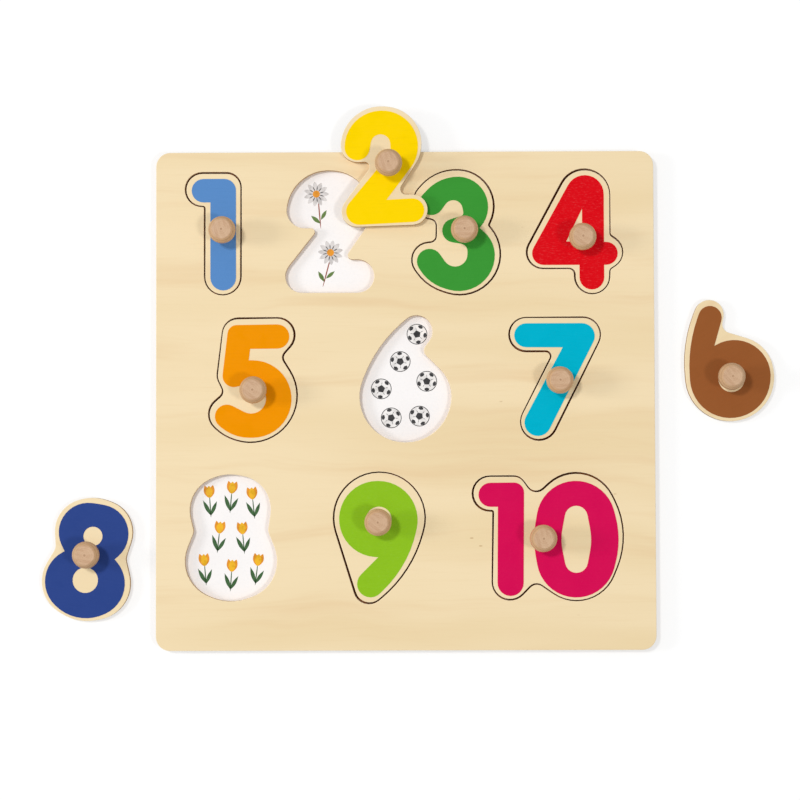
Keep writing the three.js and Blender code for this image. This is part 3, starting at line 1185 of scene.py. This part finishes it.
@dataclass
class PuzzleBoard:
    """The board: a sawn frame over a printed sheet and a closed back."""

    layers: int = 5
    back_layers: int = 3
    border: float = 10.0 * MM
    seated: tuple[str, ...] = ("one", "three", "four", "five", "seven", "nine", "ten")
    pictures: tuple[CountingPicture, ...] = (
        CountingPicture("one", Motif.SUN, 17.0 * MM, [(-109.5, 84.0, 0.0)]),
        CountingPicture("two", Motif.DAISY, 27.0 * MM, [(-52.5, 118.0, 8.0), (-46.5, 82.5, -12.0)]),
        CountingPicture(
            "three", Motif.APPLE, 14.0 * MM,
            [(25.0, 127.0, 0.0), (46.0, 109.0, 8.0), (33.0, 74.0, -6.0)],
        ),
        CountingPicture(
            "four", Motif.HEART, 12.0 * MM,
            [(108.0, 123.0, 0.0), (97.0, 104.0, -8.0), (112.0, 97.0, 6.0), (112.0, 76.0, 0.0)],
        ),
        CountingPicture(
            "five", Motif.STAR, 12.0 * MM,
            [(-98.0, 38.0, 0.0), (-80.0, 40.0, 12.0), (-103.0, 21.0, -8.0), (-75.0, 5.0, 5.0),
             (-93.0, -15.0, 0.0)],
        ),
        CountingPicture(
            "six", Motif.BALL, 12.5 * MM,
            [(7.2, 40.0, 10.0), (-3.0, 23.5, 40.0), (13.0, 11.5, 0.0), (-14.5, 7.0, 65.0),
             (8.5, -9.5, 25.0), (-8.5, -10.5, 50.0)],
        ),
        CountingPicture(
            "seven", Motif.DROP, 11.0 * MM,
            [(73.0, 39.0, 0.0), (88.0, 39.0, 0.0), (104.0, 37.0, 0.0), (100.0, 24.0, 0.0),
             (94.0, 11.0, 0.0), (87.0, -2.0, 0.0), (81.0, -15.0, 0.0)],
        ),
        CountingPicture(
            "eight", Motif.TULIP, 20.0 * MM,
            [(-118.0, -60.0, 4.0), (-105.0, -57.5, -5.0), (-92.0, -61.0, 6.0), (-112.5, -81.5, -6.0),
             (-98.0, -82.0, 5.0), (-121.0, -101.0, 5.0), (-105.0, -104.5, -4.0), (-89.5, -101.0, -7.0)],
        ),
        CountingPicture(
            "nine", Motif.CLOVER, 11.0 * MM,
            [(-30.0, -62.0, 0.0), (-16.0, -57.0, 0.0), (-2.0, -63.0, 0.0), (-31.0, -76.0, 0.0),
             (-16.0, -72.0, 0.0), (-1.0, -77.0, 0.0), (-22.0, -88.0, 0.0), (-8.0, -90.0, 0.0),
             (-20.0, -106.0, 0.0)],
        ),
        CountingPicture(
            "ten", Motif.BALLOON, 13.0 * MM,
            [(50.0, -56.0, 0.0), (64.0, -60.0, 0.0), (63.0, -77.0, 0.0), (63.0, -94.0, 0.0),
             (63.0, -110.0, 0.0), (90.0, -60.0, 0.0), (112.0, -62.0, 0.0), (86.0, -88.0, 0.0),
             (118.0, -90.0, 0.0), (102.0, -110.0, 0.0)],
        ),
    )

    def build(self) -> None:
        """Makes the frame and the back, dresses the sheet, prints its pictures and lays painted shade in
        the seated plates' narrow cuts.
        """
        for node, layers in (("backing_board", self.back_layers), ("frame_board", self.layers)):
            low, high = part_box(node)
            finish = PlywoodFinish("plywood_" + node, low[2], high[2] - low[2], layers)
            SawnPlywood(node, "board", finish.material(), border=self.border).build()
        dress("picture_sheet", SheetFinish("coated_card").material())
        sheet_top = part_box("picture_sheet")[1][2]
        inks = {ink: PrintFinish("print_" + ink.name.lower(), tone(ink.value)).material() for ink in Ink}
        for picture in self.pictures:
            picture.build(sheet_top, inks)
        # painted shade: a dark strip on the sheet in each seated plate's narrow cut
        kerf_shade = KerfShadeFinish("painted_kerf_shade").material()
        for name in self.seated:
            KerfShadeStrip(name, kerf_shade).build(sheet_top)


@dataclass
class NumberPiece:
    """One number: a sawn plate with a printed coat, a turned knob and the screw that holds it."""

    name: str
    colour: int
    turn: float = 0.0
    thin: float = 0.06
    grain_step: float = 37.0

    def coats(self) -> list[str]:
        """The names of this number's printed coats."""
        nodes = frame["record"]["behaviour"]["bodies"][self.name]
        return [node for node in nodes if node.startswith("ink_")]

    def build(self, plywood: bpy.types.Material, steel: bpy.types.Material) -> None:
        """Makes the plate, the knob and the screw, and dresses the coats.

        Args:
            plywood: the plate's finish.
            steel: the screw's finish.
        """
        low, high = (Vector(corner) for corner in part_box("screw_" + self.name))
        head = Vector(((low.x + high.x) / 2, (low.y + high.y) / 2, low.z))
        foot = Vector((head.x, head.y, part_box("knob_" + self.name)[0][2]))
        plate = "plate_" + self.name
        SawnPlywood(plate, self.name, plywood, spared=head).build()
        ink = InkFinish("ink_coat_" + self.name, tone(self.colour), self.turn, self.thin).material()
        for node in self.coats():
            dress(node, ink)
        grain = self.grain_step * len(self.name) + self.turn
        Knob(self.name, foot, grain).build(self.name)
        Screw(self.name, head, steel).build(self.name)


@dataclass
class NumberSet:
    """The ten number pieces."""

    layers: int = 5
    numbers: tuple[NumberPiece, ...] = (
        NumberPiece("one", 0x5A8CC8),
        NumberPiece("two", 0xFFD800, 1.85),
        NumberPiece("three", 0x3C9837),
        NumberPiece("four", 0xDE0D19, thin=0.5),
        NumberPiece("five", 0xF39600),
        NumberPiece("six", 0x985A2F, 27.7),
        NumberPiece("seven", 0x00B4D0),
        NumberPiece("eight", 0x2F478B, -9.3),
        NumberPiece("nine", 0x8FC323, thin=0.25),
        NumberPiece("ten", 0xD80F55),
    )

    def build(self) -> None:
        """Makes every number piece."""
        steel = SteelFinish("zinc_plated_steel").material()
        for number in self.numbers:
            low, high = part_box("plate_" + number.name)
            name = "plywood_" + number.name
            finish = PlywoodFinish(name, low[2], high[2] - low[2], self.layers, number.turn)
            number.build(finish.material(), steel)


@dataclass
class Lamp:
    """A square soft box that is aimed at the board."""

    name: str
    place: Spot
    side: float
    power: float

    def build(self) -> None:
        """Hangs the lamp."""
        light = bpy.data.lights.new(self.name, "AREA")
        light.size = self.side
        light.energy = self.power
        lamp = bpy.data.objects.new(self.name, light)
        lamp.location = self.place
        lamp.rotation_euler = (-Vector(self.place)).to_track_quat("-Z", "Y").to_euler()
        bpy.context.collection.objects.link(lamp)


@dataclass
class Studio:
    """The white table, the soft light and the camera high above the board."""

    camera_place: Spot = (5.74 * MM, -44.18 * MM, 1276.45 * MM)
    camera_turn: Spot = (1.998, 0.408, -0.176)
    lens: float = 95.0
    sensor: float = 36.0
    sight: float = 20.0
    sky: float = 0.385
    floor_side: float = 2.0
    floor_drop: float = 0.1 * MM
    floor_colour: Colour = (0.5, 0.5, 0.5)
    floor_glow: float = 0.54
    floor_roughness: float = 0.9
    lamps: tuple[Lamp, ...] = (
        Lamp("key_lamp", (-1.09, 0.63, 2.95), 0.36, 36.5),
        Lamp("fill_lamp", (1.47, -0.62, 2.77), 0.4, 19.0),
        Lamp("low_lamp", (-2.82, 0.14, 1.5), 0.7, 24.8),
    )

    def build(self) -> None:
        """Sets the floor, the light, the camera and the plain view transform."""
        bpy.context.scene.view_settings.view_transform = "Standard"
        self.floor()
        self.light()
        self.camera()

    def floor(self) -> None:
        """Lays the white table top, which keeps the object's shadow."""
        bm = bmesh.new()
        bmesh.ops.create_grid(bm, x_segments=1, y_segments=1, size=self.floor_side / 2)
        bmesh.ops.translate(bm, verts=bm.verts, vec=(0.0, 0.0, -self.floor_drop))
        mesh = bpy.data.meshes.new("table_top")
        bm.to_mesh(mesh)
        bm.free()
        g = Graph("white_table")
        g.feed(g.shader.inputs["Emission Strength"], g.math("MULTIPLY", g.seen(), self.floor_glow))
        g.shader.inputs["Emission Color"].default_value = WHITE_LIGHT
        g.shader.inputs["Base Color"].default_value = (*self.floor_colour, 1.0)
        g.shader.inputs["Roughness"].default_value = self.floor_roughness
        g.shader.inputs["Specular IOR Level"].default_value = 0.0
        mesh.materials.append(g.material)
        table = bpy.data.objects.new("table_top", mesh)
        bpy.context.collection.objects.link(table)

    def light(self) -> None:
        """Lights the room evenly, shows it white, and hangs the lamps."""
        g = RoomGraph("studio")
        g.shader.inputs["Color"].default_value = WHITE_LIGHT
        glow = g.math("MULTIPLY", g.seen(), 1.0 - self.sky)
        g.feed(g.shader.inputs["Strength"], g.math("ADD", glow, self.sky))
        for lamp in self.lamps:
            lamp.build()

    def camera(self) -> None:
        """Hangs the camera above the board."""
        data = bpy.data.cameras.new("camera")
        data.lens = self.lens
        data.sensor_width = self.sensor
        data.clip_end = self.sight
        camera = bpy.data.objects.new("camera", data)
        camera.location = self.camera_place
        camera.rotation_euler = tuple(math.radians(angle) for angle in self.camera_turn)
        bpy.context.collection.objects.link(camera)
        bpy.context.scene.camera = camera


def main() -> None:
    """Builds the board, the numbers and the studio."""
    logging.basicConfig(level=logging.INFO, format="%(name)s: %(message)s")
    PuzzleBoard().build()
    NumberSet().build()
    Studio().build()


if __name__ == "__main__":
    main()
